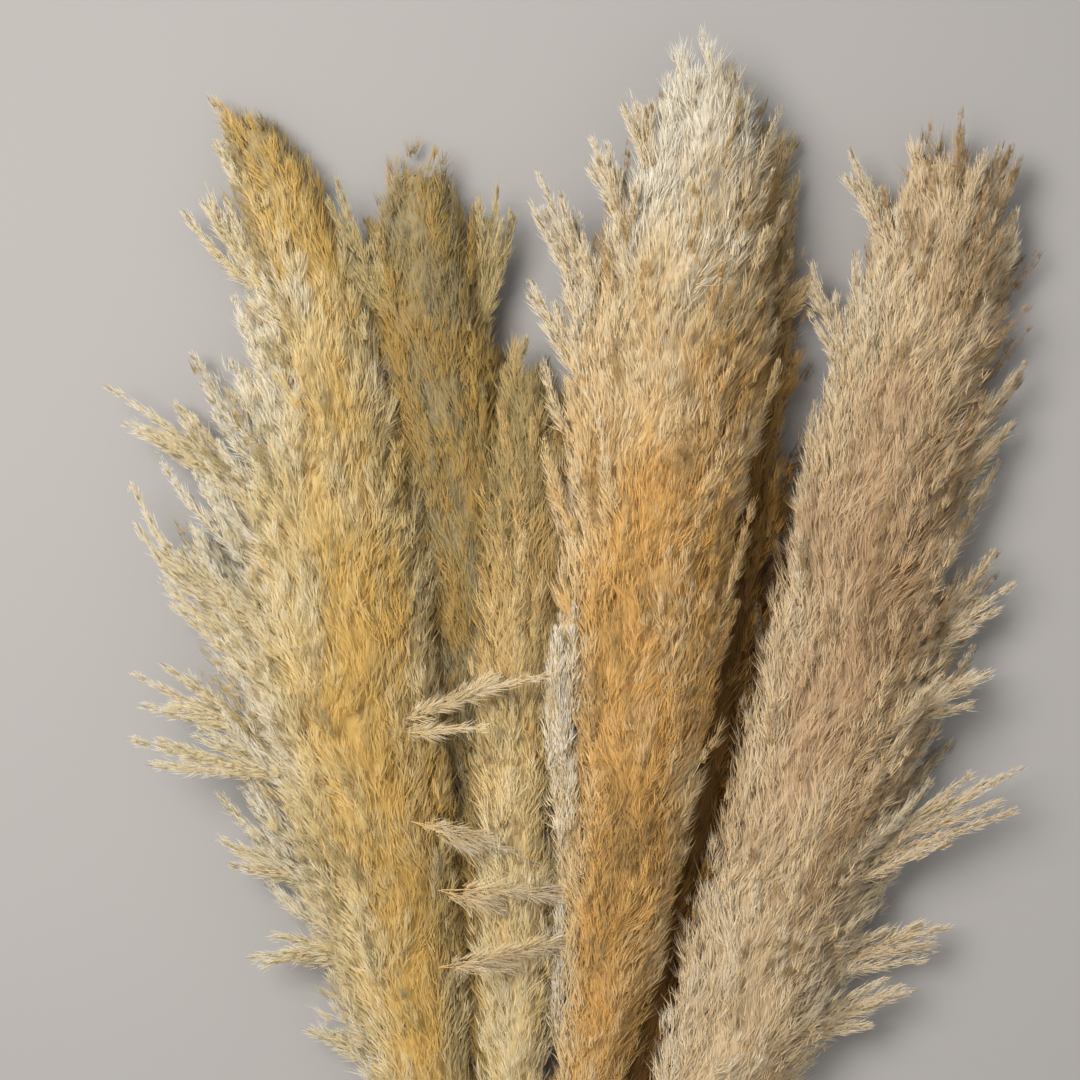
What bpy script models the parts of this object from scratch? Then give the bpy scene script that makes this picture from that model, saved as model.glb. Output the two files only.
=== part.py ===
"""A bundle of six dried pampas grass stems, tied with jute twine and lying on a flat surface.

Metres, +Z up. The stems run along Y: cut ends at -Y, feathery heads at +Y. The surface is at Z = 0 and the
origin is on it, under the middle of the bundle. Each head is one soft solid of its dense body, with an
elliptical section that is flattened where it lies. The long side branches that stand clear of the heads are
pieces of their own, each starting just outside its head.
"""

import math

import bmesh
import bpy
from mathutils import Vector

# Heads
DENSE_SHARE = 0.85  # the dense body's half width, as a share of the feathery outline's
LYING_FLATNESS = 0.75  # a lying head's height over its width
SECTION_POINTS = 18
SPANS_BETWEEN_POINTS = 3

# Stems and twine
STEM_R_AT_CUT = 0.0034
STEM_R_AT_HEAD = 0.0022
TIE_Y = -0.300
TIE_Z = 0.0139
STEM_PITCH = 0.0075  # from the middle stem to the five around it
TWINE_R = 0.0011
TWINE_TURNS = 6
RING_BORE_R = STEM_PITCH + STEM_R_AT_CUT + 0.0003
RING_FLATS = 24

# Fits and sizes of side branches
GAP = 0.0003
BRANCH_R = 0.0052
BRANCH_SIDES = 8
BRANCH_STEPS = 7

FLOOR_BLOCK = 3.0

# Each head's spine from its tip to its foot: x, y, z of the middle and the outline's half width.
SPINES = {
    "left": [
        (-0.168, 0.524, 0.012, 0.003),
        (-0.143, 0.471, 0.016, 0.019),
        (-0.121, 0.380, 0.024, 0.033),
        (-0.118, 0.320, 0.026, 0.043),
        (-0.109, 0.225, 0.030, 0.053),
        (-0.090, 0.130, 0.023, 0.040),
        (-0.072, 0.031, 0.017, 0.025),
        (-0.048, -0.079, 0.017, 0.005),
    ],
    "olive": [
        (-0.067, 0.499, 0.012, 0.003),
        (-0.074, 0.471, 0.015, 0.018),
        (-0.070, 0.415, 0.018, 0.029),
        (-0.052, 0.321, 0.019, 0.030),
        (-0.042, 0.221, 0.015, 0.024),
        (-0.038, 0.121, 0.012, 0.019),
        (-0.034, 0.021, 0.010, 0.011),
        (-0.029, -0.054, 0.011, 0.005),
    ],
    "tall": [
        (0.070, 0.550, 0.034, 0.006),
        (0.069, 0.510, 0.037, 0.025),
        (0.064, 0.466, 0.038, 0.037),
        (0.050, 0.390, 0.046, 0.051),
        (0.042, 0.315, 0.048, 0.049),
        (0.033, 0.215, 0.045, 0.042),
        (0.025, 0.120, 0.036, 0.031),
        (0.012, 0.031, 0.028, 0.018),
        (0.003, -0.079, 0.025, 0.005),
    ],
    "right": [
        (0.187, 0.506, 0.012, 0.004),
        (0.191, 0.471, 0.017, 0.025),
        (0.183, 0.421, 0.021, 0.036),
        (0.157, 0.325, 0.023, 0.040),
        (0.137, 0.221, 0.026, 0.046),
        (0.106, 0.121, 0.023, 0.040),
        (0.090, 0.064, 0.023, 0.041),
        (0.063, -0.005, 0.020, 0.026),
        (0.042, -0.079, 0.018, 0.005),
    ],
    "short": [
        (-0.021, 0.396, 0.036, 0.004),
        (-0.019, 0.355, 0.038, 0.016),
        (-0.021, 0.290, 0.043, 0.021),
        (-0.025, 0.200, 0.042, 0.018),
        (-0.024, 0.100, 0.036, 0.018),
        (-0.024, 0.020, 0.028, 0.014),
        (-0.019, -0.059, 0.023, 0.0045),
    ],
    "behind": [
        (0.111, 0.517, 0.009, 0.003),
        (0.098, 0.468, 0.012, 0.014),
        (0.091, 0.385, 0.012, 0.017),
        (0.087, 0.285, 0.012, 0.019),
        (0.073, 0.195, 0.012, 0.018),
        (0.056, 0.119, 0.011, 0.014),
        (0.040, 0.046, 0.010, 0.011),
        (0.022, -0.059, 0.010, 0.0045),
    ],
}

# Where each stem passes the tie, in degrees round the middle stem, and where its cut end lies: x, y, z.
STEMS = {
    "left": (162, (-0.030, -0.531, 0.0105)),
    "olive": (234, (-0.014, -0.550, 0.0040)),
    "tall": (None, (0.003, -0.540, 0.0115)),
    "right": (18, (0.034, -0.522, 0.0105)),
    "short": (90, (-0.010, -0.515, 0.0215)),
    "behind": (306, (0.018, -0.545, 0.0040)),
}

# Side branches of each head. Each is: y of its root; the root's angle round the spine, in degrees from +X
# by way of +Z; the angle it heads off at, measured the same way; its spread from the spine at the root and
# at its tip, in degrees; and its length.
BRANCHES = {
    "left": [
        (0.436, 178, 180, 24, 6, 0.056),
        (0.321, 176, 180, 42, 54, 0.090),
        (0.244, 172, 178, 38, 18, 0.104),
        (0.262, 148, 170, 48, 40, 0.066),
        (0.211, 172, 180, 58, 50, 0.068),
        (0.193, 160, 178, 70, 60, 0.070),
        (0.136, 172, 182, 60, 50, 0.046),
        (0.095, 170, 176, 64, 92, 0.040),
        (0.042, 174, 178, 46, 62, 0.032),
        (0.209, 52, 24, 74, 88, 0.068),
    ],
    "olive": [
        (0.408, 10, 12, 22, 12, 0.066),
        (0.360, 12, 6, 34, 30, 0.036),
        (0.421, 150, 174, 16, 8, 0.062),
    ],
    "tall": [
        (0.408, 172, 180, 26, 34, 0.068),
        (0.450, 160, 180, 26, 34, 0.044),
        (0.380, 176, 184, 30, 36, 0.045),
        (0.484, 150, 172, 20, 24, 0.034),
        (0.119, 150, 158, 78, 92, 0.050),
        (0.094, 150, 148, 88, 104, 0.054),
    ],
    "right": [
        (0.148, 14, 10, 36, 42, 0.090),
        (0.252, 6, 8, 38, 44, 0.050),
        (0.336, 4, 0, 28, 34, 0.036),
        (0.094, 4, 6, 50, 62, 0.058),
        (0.222, 18, 10, 44, 52, 0.038),
        (0.440, 12, 4, 28, -6, 0.030),
        (0.066, 10, 6, 46, 54, 0.050),
        (0.447, 168, 178, 26, 34, 0.042),
        (0.380, 172, 180, 30, 36, 0.050),
    ],
    "short": [
        (0.146, 96, 156, 60, 72, 0.040),
    ],
    "behind": [
        (0.414, 34, 12, 40, 36, 0.026),
    ],
}

# Colour, roughness
STRAW_COLOURS = {
    "left": (0.72, 0.56, 0.30),
    "olive": (0.52, 0.45, 0.25),
    "tall": (0.74, 0.54, 0.32),
    "right": (0.66, 0.52, 0.36),
    "short": (0.62, 0.54, 0.34),
    "behind": (0.50, 0.36, 0.19),
}
STEM_COLOUR = (0.55, 0.47, 0.24)
TWINE_COLOUR = (0.42, 0.29, 0.16)


def clear_scene():
    for obj in list(bpy.data.objects):
        bpy.data.objects.remove(obj)


def collection(name, hidden=False):
    made = bpy.data.collections.new(name)
    made.hide_render = hidden
    bpy.context.scene.collection.children.link(made)
    return made


def material(name, colour, roughness=0.85):
    made = bpy.data.materials.new(name)
    made.use_nodes = True
    shader = made.node_tree.nodes["Principled BSDF"]
    shader.inputs["Base Color"].default_value = (*colour, 1)
    shader.inputs["Roughness"].default_value = roughness
    shader.inputs["Metallic"].default_value = 0
    return made


def smooth_path(points, spans):
    """Catmull-Rom samples through the points, with this many spans between each two of them."""
    ends = [points[0], *points, points[-1]]
    samples = []
    for a, b, c, d in zip(ends, ends[1:], ends[2:], ends[3:]):
        for step in range(spans):
            t = step / spans
            samples.append(
                tuple(
                    0.5 * (2 * q + (r - p) * t + (2 * p - 5 * q + 4 * r - s) * t**2 + (3 * q - p - 3 * r + s) * t**3)
                    for p, q, r, s in zip(a, b, c, d)
                )
            )
    return [*samples, tuple(points[-1])]


def tube_mesh(name, samples, section=None, sides=8):
    """The welded mesh of a tube along samples (x, y, z, radius), round or with a section curve."""
    curve = bpy.data.curves.new(name, "CURVE")
    curve.dimensions = "3D"
    curve.twist_mode = "Z_UP"
    curve.use_fill_caps = True
    if section:
        curve.bevel_mode = "OBJECT"
        curve.bevel_object = section
    else:
        curve.bevel_depth = 1.0
        curve.bevel_resolution = sides // 2 - 2
    spline = curve.splines.new("POLY")
    spline.points.add(len(samples) - 1)
    for point, (x, y, z, radius) in zip(spline.points, samples):
        point.co = (x, y, z, 1)
        point.radius = radius
    guide = bpy.data.objects.new(name, curve)
    bpy.context.scene.collection.objects.link(guide)
    graph = bpy.context.evaluated_depsgraph_get()
    mesh = bpy.data.meshes.new_from_object(guide.evaluated_get(graph))
    bpy.data.objects.remove(guide)
    work = bmesh.new()
    work.from_mesh(mesh)
    bmesh.ops.remove_doubles(work, verts=work.verts, dist=1e-6)
    bmesh.ops.recalc_face_normals(work, faces=work.faces)
    work.to_mesh(mesh)
    work.free()
    mesh.name = name
    mesh.shade_smooth()
    return mesh


def add_object(name, mesh, finish, group):
    made = bpy.data.objects.new(name, mesh)
    mesh.materials.append(finish)
    group.objects.link(made)
    return made


def head_section(helpers):
    """The unit ellipse that every head's section is scaled from."""
    curve = bpy.data.curves.new("head_section", "CURVE")
    spline = curve.splines.new("POLY")
    spline.points.add(SECTION_POINTS - 1)
    for index, point in enumerate(spline.points):
        turn = 2 * math.pi * index / SECTION_POINTS
        point.co = (math.cos(turn), LYING_FLATNESS * math.sin(turn), 0, 1)
    spline.use_cyclic_u = True
    section = bpy.data.objects.new("head_section", curve)
    section.hide_render = True
    section.display_type = "WIRE"
    helpers.objects.link(section)
    return section


def floor_block(helpers):
    """What lies under the surface at Z = 0. It trims the underside of the heads that rest there."""
    mesh = bpy.data.meshes.new("floor_block")
    work = bmesh.new()
    bmesh.ops.create_cube(work, size=FLOOR_BLOCK)
    work.to_mesh(mesh)
    work.free()
    block = bpy.data.objects.new("floor_block", mesh)
    block.location = (0, 0, -FLOOR_BLOCK / 2)
    block.hide_render = True
    block.display_type = "WIRE"
    helpers.objects.link(block)
    return block


def head(kind, section, block, finish, group):
    """One feathery head's dense body, along its spine."""
    samples = [
        (x, y, z, DENSE_SHARE * half_width) for x, y, z, half_width in smooth_path(SPINES[kind], SPANS_BETWEEN_POINTS)
    ]
    made = add_object(f"{kind}_head", tube_mesh(f"{kind}_head", samples, section), finish, group)
    if min(z - LYING_FLATNESS * radius for _, _, z, radius in samples) < 0:
        trim = made.modifiers.new("lie_flat", "BOOLEAN")
        trim.operation = "DIFFERENCE"
        trim.object = block
    return made


def stem(kind, finish, group):
    """One culm, from its cut end through the tie to just short of its head's foot."""
    angle, cut_end = STEMS[kind]
    tie = Vector((0, TIE_Y, TIE_Z))
    if angle is not None:
        turn = math.radians(angle)
        tie += STEM_PITCH * Vector((math.cos(turn), 0, math.sin(turn)))
    foot, above = (Vector(p[:3]) for p in (SPINES[kind][-1], SPINES[kind][-2]))
    head_end = foot + (foot - above).normalized() * 2 * GAP
    lead_in = foot + (foot - above).normalized() * 0.03
    route = [
        Vector(cut_end),
        tie.lerp(Vector(cut_end), 0.35),
        tie - Vector((0, 0.008, 0)),
        tie + Vector((0, 0.008, 0)),
        tie.lerp(head_end, 0.4),
        lead_in,
        head_end,
    ]
    length = (head_end - Vector(cut_end)).length
    samples = []
    for x, y, z in smooth_path([tuple(p) for p in route], 3):
        share = (Vector((x, y, z)) - Vector(cut_end)).length / length
        samples.append((x, y, z, STEM_R_AT_CUT + (STEM_R_AT_HEAD - STEM_R_AT_CUT) * share))
    return add_object(f"{kind}_stem", tube_mesh(f"{kind}_stem", samples, sides=10), finish, group)


def spine_at(kind, y):
    """The spine's point, half width and direction towards the tip where it passes this y."""
    samples = smooth_path(SPINES[kind], 8)
    for upper, lower in zip(samples, samples[1:]):
        if lower[1] <= y <= upper[1]:
            share = (upper[1] - y) / (upper[1] - lower[1])
            x, y, z, half_width = (a + (b - a) * share for a, b in zip(upper, lower))
            return Vector((x, y, z)), half_width, (Vector(upper[:3]) - Vector(lower[:3])).normalized()
    raise ValueError(f"the {kind} head has no point at y = {y}")


def branch_path(kind, y, root_angle, heading, spread, end_spread, length):
    """Points along a side branch, from its root just outside the head's dense body."""
    middle, half_width, along = spine_at(kind, y)
    side = along.cross(Vector((0, 0, 1))).normalized()
    up = side.cross(along)
    turn = math.radians(root_angle)
    dense = DENSE_SHARE * half_width
    root = middle + (dense + 4 * GAP) * math.cos(turn) * side
    root += (LYING_FLATNESS * dense + 4 * GAP) * math.sin(turn) * up
    turn = math.radians(heading)
    out = math.cos(turn) * side + math.sin(turn) * up
    points = [root]
    for step in range(BRANCH_STEPS):
        lean = math.radians(spread + (end_spread - spread) * (step + 0.5) / BRANCH_STEPS)
        points.append(points[-1] + (math.cos(lean) * along + math.sin(lean) * out) * length / BRANCH_STEPS)
    return points


def branch_radius(share):
    """A side branch swells from a thin root to its feathery middle and tapers to its tip."""
    return BRANCH_R * (0.16 + 0.84 * math.sin(math.pi * min(share * 1.25, 1) ** 0.8) ** 0.8) * (1 - 0.45 * share)


def side_branch(kind, number, facts, finish, group):
    points = branch_path(kind, *facts)
    samples = [(*point, branch_radius(step / BRANCH_STEPS)) for step, point in enumerate(points)]
    name = f"{kind}_branch_{number}"
    return add_object(name, tube_mesh(name, samples, sides=BRANCH_SIDES), finish, group)


def twine_binding(finish, group):
    """The wound turns of twine, as one turned band round the stems, with a lobe for each turn."""
    half = TWINE_TURNS * TWINE_R
    outline = [(RING_BORE_R, -half), (RING_BORE_R, half)]
    for turn in reversed(range(TWINE_TURNS)):
        middle = -half + (2 * turn + 1) * TWINE_R
        for degrees in (60, 0, -60):
            lobe = math.radians(degrees)
            outline.append((RING_BORE_R + TWINE_R * (1 + math.cos(lobe)), middle + TWINE_R * math.sin(lobe)))
    mesh = bpy.data.meshes.new("twine_binding")
    corners = [(radius, along, 0) for radius, along in outline]
    edges = [(i, (i + 1) % len(corners)) for i in range(len(corners))]
    mesh.from_pydata(corners, edges, [])
    band = add_object("twine_binding", mesh, finish, group)
    band.location = (0, TIE_Y, TIE_Z)
    turned = band.modifiers.new("turn", "SCREW")
    turned.axis = "Y"
    turned.steps = turned.render_steps = RING_FLATS
    turned.use_merge_vertices = True
    turned.merge_threshold = 1e-5
    turned.use_normal_flip = False
    return band


def twine_knot(finish, group):
    """The knot on top of the binding."""
    mesh = bpy.data.meshes.new("twine_knot")
    work = bmesh.new()
    bmesh.ops.create_uvsphere(work, u_segments=16, v_segments=10, radius=1)
    bmesh.ops.scale(work, vec=(0.0048, 0.0040, 0.0032), verts=work.verts)
    work.to_mesh(mesh)
    work.free()
    mesh.shade_smooth()
    knot = add_object("twine_knot", mesh, finish, group)
    knot.location = (0, TIE_Y, TIE_Z + RING_BORE_R + 2 * TWINE_R + GAP + 0.0032)
    return knot


def main():
    clear_scene()
    bundle = collection("pampas_bundle")
    helpers = collection("helpers", hidden=True)
    section = head_section(helpers)
    block = floor_block(helpers)
    stem_finish = material("stem", STEM_COLOUR, 0.6)
    twine_finish = material("twine", TWINE_COLOUR, 0.9)
    for kind in SPINES:
        finish = material(f"{kind}_feather", STRAW_COLOURS[kind])
        head(kind, section, block, finish, bundle)
        stem(kind, stem_finish, bundle)
        for number, facts in enumerate(BRANCHES[kind], start=1):
            side_branch(kind, number, facts, finish, bundle)
    twine_binding(twine_finish, bundle)
    twine_knot(twine_finish, bundle)


main()
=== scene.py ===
"""Looks of a bundle of dried pampas grass that lies on a pale floor and is seen from above.

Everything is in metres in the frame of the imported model: the stems run along Y with their cut ends at -Y, and
the floor is at Z = 0.
"""

import math

import bpy
import numpy as np
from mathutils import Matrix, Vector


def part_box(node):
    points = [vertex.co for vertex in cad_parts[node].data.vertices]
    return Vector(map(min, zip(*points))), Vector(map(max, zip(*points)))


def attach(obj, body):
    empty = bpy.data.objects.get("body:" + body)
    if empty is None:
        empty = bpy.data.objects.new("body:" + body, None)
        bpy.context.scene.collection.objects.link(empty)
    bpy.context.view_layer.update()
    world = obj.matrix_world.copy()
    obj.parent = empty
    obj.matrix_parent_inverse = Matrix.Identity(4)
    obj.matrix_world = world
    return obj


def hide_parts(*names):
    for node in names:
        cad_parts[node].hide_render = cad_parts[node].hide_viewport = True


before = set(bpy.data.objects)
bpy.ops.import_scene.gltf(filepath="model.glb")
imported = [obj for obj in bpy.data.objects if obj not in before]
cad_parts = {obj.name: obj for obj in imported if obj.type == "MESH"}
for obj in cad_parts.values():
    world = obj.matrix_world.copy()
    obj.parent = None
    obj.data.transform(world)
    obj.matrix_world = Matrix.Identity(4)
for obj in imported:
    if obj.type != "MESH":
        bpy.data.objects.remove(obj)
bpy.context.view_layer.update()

# ----------
# The left head. It is a panicle of silky side twigs on one central stalk. Each twig carries hundreds of small
# husks, and each husk a tuft of fine hairs about a centimetre long. This one is straw yellow with a golden
# ridge, and its twigs flare to the left.
# ----------

FLUFF_OVER_DENSE = 1 / 0.85  # the feathery outline's half width over the dense body's
DENSE_FLATNESS = 0.75  # a head's height over its width
DENSE_MIDDLE = 0.66  # the dense middle's size over the feathery outline's
RUN_STEPS = 56
TWIG_STEPS = 14
LAST_TWIG = 0.93  # the share of a head's run at which its last twig leaves the stalk
GOLDEN_ANGLE = 2.39996
LOCK_LENGTH = 0.014, 0.030
LOCK_TUFTS = 6
TASSEL_TUFTS, WISP_TUFTS = 1000, 420  # tufts on each metre of twig
WISP_TONE = 0.84
TUFT = 6  # hairs on a husk
HAIR_LENGTH = 0.0120
HAIR_WIDTH = 0.00038
HUSK_LIFT = 0.0018  # how far the husks that show stand out from the hairs' feet
LOWEST = 0.0004  # nothing goes nearer to the floor than this
TWIGS_LOWEST = 0.004  # and no head's twig nearer than this
HIGHEST = 0.0955  # nothing stands higher than this
SILK_TONES = 0.01, 0.90  # the part of the tone map that is for silk
HUSK_TONES = 0.95, 0.98  # and the part that is for husks
MAP_SPAN = 0.012, 0.988  # tones stay this far inside the map
LENGTHWISE = np.array([0.0, 1.0, 0.0])


def unit(vectors):
    """Each vector over its length."""
    return vectors / np.maximum(np.linalg.norm(vectors, axis=-1, keepdims=True), 1e-12)


def corners(node):
    """The places of a CAD node's corners."""
    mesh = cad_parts[node].data
    places = np.empty(len(mesh.vertices) * 3)
    mesh.vertices.foreach_get("co", places)
    return places.reshape(-1, 3)


def cuts(node, along, steps):
    """The lowest and highest corner of a CAD node's section in planes square to a direction, one at each step
    along it. An edge of the mesh meets a plane where its height along the direction passes the step's, and the
    meeting point is found on it by proportion."""
    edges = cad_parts[node].data.edges
    ends = np.empty(len(edges) * 2, np.int64)
    edges.foreach_get("vertices", ends)
    a, b = corners(node)[ends.reshape(-1, 2)].transpose(1, 0, 2)
    low, high = a @ along, b @ along
    climbs = np.abs(high - low) > 1e-9
    share = (steps[:, None] - low) / np.where(climbs, high - low, np.inf)
    met = ((share >= 0) & (share <= 1) & climbs)[..., None]
    at = a + share[..., None] * (b - a)
    return np.where(met, at, np.inf).min(1), np.where(met, at, -np.inf).max(1)


def head_run(node, tip=0.005):
    """A head's spine from foot to tip at even steps along Y, with the half width and half height of its
    feathery outline. The dense body's middle is half its height below its top, because its underside is
    flattened on the floor. The outline's end is rounded with the tip's radius."""
    low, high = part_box(node)
    inset, cap = 0.004, 1.6 * tip  # from the body's ends to the first and last section, and the round end's length
    low, high = cuts(node, LENGTHWISE, np.linspace(low[1] + inset, high[1] - inset, RUN_STEPS))
    half_width = (high[:, 0] - low[:, 0]) / 2
    middle = (high + low) / 2
    middle[:, 2] = high[:, 2] - DENSE_FLATNESS * half_width
    left = middle[-1, 1] - middle[:, 1]
    rounded = tip * np.sqrt(np.clip(1 - (1 - left / cap) ** 2, 0, 1)) * (left < cap)
    rounded += tip * (left >= cap) * np.clip(1 - left / 0.05, 0, 1)
    half_width = np.hypot(half_width * FLUFF_OVER_DENSE, rounded)
    return middle, half_width, DENSE_FLATNESS * half_width


def on_run(values, share):
    """Values of a run at shares of its length, with the last step's slope carried on past its ends."""
    at = share * (len(values) - 1)
    step = np.clip(np.floor(at).astype(int), 0, len(values) - 2)
    rest = at - step
    if values.ndim > 1:
        rest = rest[..., None]
    return values[step] + (values[step + 1] - values[step]) * rest


def onward(run, share):
    """The spine's direction at shares of its run."""
    return on_run(unit(np.gradient(run[0], axis=0)), share)


def outline(run, share, turn):
    """The way from a head's spine to its outline, at shares of its run and angles round it: the half width times
    the angle's cosine across, and the half height times its sine up."""
    wide, high = on_run(run[1], share), on_run(run[2], share)
    return np.stack([np.cos(turn) * wide, 0 * turn, np.sin(turn) * high], -1)


def flared(turn, flare, flare_way, sharp):
    """How far a twig at an angle round the stalk takes part in its head's flare: the cosine of its angle from
    the flare's way, raised to a power, or nothing on the far side."""
    return np.clip(np.cos(turn - math.radians(flare_way)), 0, 1) ** sharp * flare


def head_twigs(run, rng, count, length, flare, flare_way):
    """The twigs of a head, as points from root to tip: (count, TWIG_STEPS, 3), and each point's outward
    direction. Roots climb the stalk and turn round it by the golden angle. A twig's place is the spine's at a
    share that grows with its length, plus a share of the outline that grows fast and then levels, and a twig
    that points the flare's way leaves the stalk at a wider angle and stands further out."""
    whole = np.linalg.norm(np.diff(run[0], axis=0), axis=1).sum()
    root = LAST_TWIG * ((np.arange(count) + rng.uniform(0, 1, count)) / count)
    turn = np.arange(count) * GOLDEN_ANGLE + rng.normal(0, 0.25, count)
    facing = flared(turn, flare, flare_way, 1.3) * np.clip((0.97 - root) / 0.3, 0, 1)
    reach = np.interp(root, np.linspace(0, 1, len(length)), length) * rng.uniform(0.8, 1.15, count)
    reach = np.minimum(reach, (0.985 - root) * whole)
    t = np.linspace(0, 1, TWIG_STEPS)
    share = root[:, None] + (reach * (1 - 0.40 * facing) / whole)[:, None] * t
    deep = rng.uniform(0, 1, count) ** 0.4
    end = 0.40 + 0.50 * deep + 0.50 * facing * rng.uniform(0.3, 1.2, count)
    start = rng.uniform(0.05, 0.3, count)
    out = start[:, None] + (end - start)[:, None] * (1 - (1 - t) ** (1.5 - 0.3 * facing[:, None]))
    wave = 0.05 * np.sin(t * rng.uniform(2, 6, (count, 1)) + rng.uniform(0, 6, (count, 1)))
    ring = outline(run, share, turn[:, None] + wave * 2)
    paths = on_run(run[0], share) + out[..., None] * ring
    paths[..., 2] = np.maximum(paths[..., 2], TWIGS_LOWEST + 0.002 * t)
    return paths, unit(ring + 1e-9), turn, root, end


def tuft_hairs(paths, outward, rng, husks, spread, hair, thin_tip, bare):
    """Husks along twigs, and the tuft of hairs on each. A husk sits at a random length past its twig's bare foot
    and at a random angle, and leans away from it by an angle that shrinks towards the twig's tip. Its hairs
    start together and fan out a little. Returns roots, tips and soft normals of hairs, the same of husks, and
    the twig and length of both."""
    twig = np.repeat(np.arange(len(paths)), husks)
    t = bare + (1 - bare) * rng.uniform(0, 1, len(twig)) ** 1.15
    at = t * (TWIG_STEPS - 1)
    step = np.minimum(at.astype(int), TWIG_STEPS - 2)
    rest = (at - step)[:, None]
    base = paths[twig, step] * (1 - rest) + paths[twig, step + 1] * rest
    along = unit(paths[twig, step + 1] - paths[twig, step])
    away = outward[twig, step]
    away = unit(away - (away * along).sum(1, keepdims=True) * along)
    side = np.cross(along, away)
    turn = rng.uniform(-math.pi, math.pi, len(twig))[:, None]
    round_twig = np.cos(turn) * away + np.sin(turn) * side
    lean = np.radians(np.interp(t, [0, 1], spread) * rng.uniform(0.6, 1.3, len(t)))[:, None]
    heading = np.cos(lean) * along + np.sin(lean) * round_twig
    size = hair * np.interp(t - bare, [0, 0.15, 0.6, 1], [0.45, 1.05, 1, 1 - thin_tip]) * rng.uniform(0.8, 1.2, len(t))
    seat = base + round_twig * rng.uniform(0.02, 0.30, (len(t), 1)) * hair * (1 - thin_tip * t[:, None])
    macro = unit(0.6 * away + 0.3 * round_twig + np.array([0, 0, 0.4]))

    roots, tips = fan_out(seat, heading, size, rng, 0.16, 0.0009)
    husk_tips = seat + unit(heading + 0.5 * along) * rng.uniform(0.003, 0.0065, (len(t), 1))
    return roots, tips, np.repeat(macro, TUFT, axis=0), seat, husk_tips, macro, twig, t


def fan_out(seat, heading, size, rng, angle, scatter):
    """The hairs of each husk: they start scattered round its seat and fan out round its heading."""
    count = len(seat) * TUFT
    roots = np.repeat(seat, TUFT, axis=0) + rng.normal(0, scatter, (count, 3))
    fan = unit(np.repeat(heading, TUFT, axis=0) + rng.normal(0, angle, (count, 3)))
    return roots, roots + fan * (np.repeat(size, TUFT) * rng.uniform(0.55, 1.15, count))[:, None]


def spots(run, rng, count, inner, depth, ends=0.0):
    """Random spots in a head's outer layer. A spot's share of the run is drawn more where the run is wide, its
    angle more above than below, and its share of the outline within a depth of the inner one. Returns shares,
    angles, places across, seats, and the directions onward, outward and sideways."""
    middle, half_width, half_height = run
    mass = np.concatenate([[0], np.cumsum(half_width[1:] + half_width[:-1] + ends)])
    share = np.interp(rng.uniform(0, mass[-1], count), mass, np.linspace(0, 0.985, len(mass)))
    turn = rng.uniform(-math.pi, math.pi, count)
    turn = np.where((np.sin(turn) < -0.25) & (rng.uniform(0, 1, count) < 0.6), -turn, turn)
    out = inner + depth * np.sqrt(rng.uniform(0, 1, count))
    seat = on_run(middle, share) + out[:, None] * outline(run, share, turn)
    along = onward(run, share)
    wide, high = on_run(half_width, share), on_run(half_height, share)
    away = unit(np.stack([np.cos(turn) * high, 0 * turn, np.sin(turn) * wide], -1) + 1e-9)
    return share, turn, np.cos(turn) * out, seat, along, away, np.cross(along, away)


def swayed(rng, share, turn, own):
    """A sway to the side, by slow waves along and round a head and each spot's own random part."""
    waves = 0.24 * np.sin(61 * share + 2 * turn) + 0.20 * np.sin(37 * share - 3 * turn + 1)
    return waves + rng.normal(0, own, len(share))


def nap(run, rng, count, flare, flare_way):
    """The nap: tufts that fill a head between its locks. A tuft leans out from the spine's direction, most on
    the flare's side, and sways sideways. Returns seats, headings, lengths, soft normals, shares and places
    across."""
    share, turn, across, seat, along, away, side = spots(run, rng, count, 0.52, 0.34)
    lean = np.radians(rng.uniform(10, 28, count) + 30 * flared(turn, flare, flare_way, 1.2))[:, None]
    sway = swayed(rng, share, turn, 0.12)[:, None]
    heading = unit(np.cos(lean) * (along + np.tan(sway) * side) + np.sin(lean) * away)
    size = HAIR_LENGTH * rng.uniform(0.8, 1.2, count) * np.interp(share, [0.9, 1], [1, 0.55])
    return seat, heading, size, unit(away + np.array([0, 0, 0.3])), share, across


def head_locks(run, rng, count, flare, flare_way):
    """The locks of a head: short plumes, the ends of its finest twigs, that cover its outline. A lock leans out
    from the spine's direction, most on the flare's side, sways sideways, and curves back towards the spine's
    direction. Returns points, (count, TWIG_STEPS, 3), their outward directions, shares and places across."""
    share, turn, across, seat, along, away, side = spots(run, rng, count, 0.48, 0.40, ends=0.004)
    facing = flared(turn, flare, flare_way, 1.2) * np.clip((0.98 - share) / 0.25, 0, 1)
    narrow = np.interp(share, [0.72, 1], [1, 0.35])
    lean = np.radians(rng.uniform(10, 34, count) * narrow + 30 * facing)[:, None, None]
    sway = swayed(rng, share, turn, 0.16)
    t = np.linspace(0, 1, TWIG_STEPS)[:, None]
    reach = (rng.uniform(*LOCK_LENGTH, count) * (1 + 0.7 * facing) * (0.4 + 0.6 * narrow))[:, None, None]
    run_on = along[:, None] + (np.tan(sway) * narrow)[:, None, None] * side[:, None] * (1 - 0.4 * t)
    bend = np.cos(lean) * run_on + np.sin(lean) * away[:, None] * (1 - 0.35 * t)
    paths = seat[:, None] + reach * t * bend
    paths[..., 2] = np.maximum(paths[..., 2], TWIGS_LOWEST)
    return paths, np.repeat(away[:, None], TWIG_STEPS, axis=1), share, across


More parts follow.
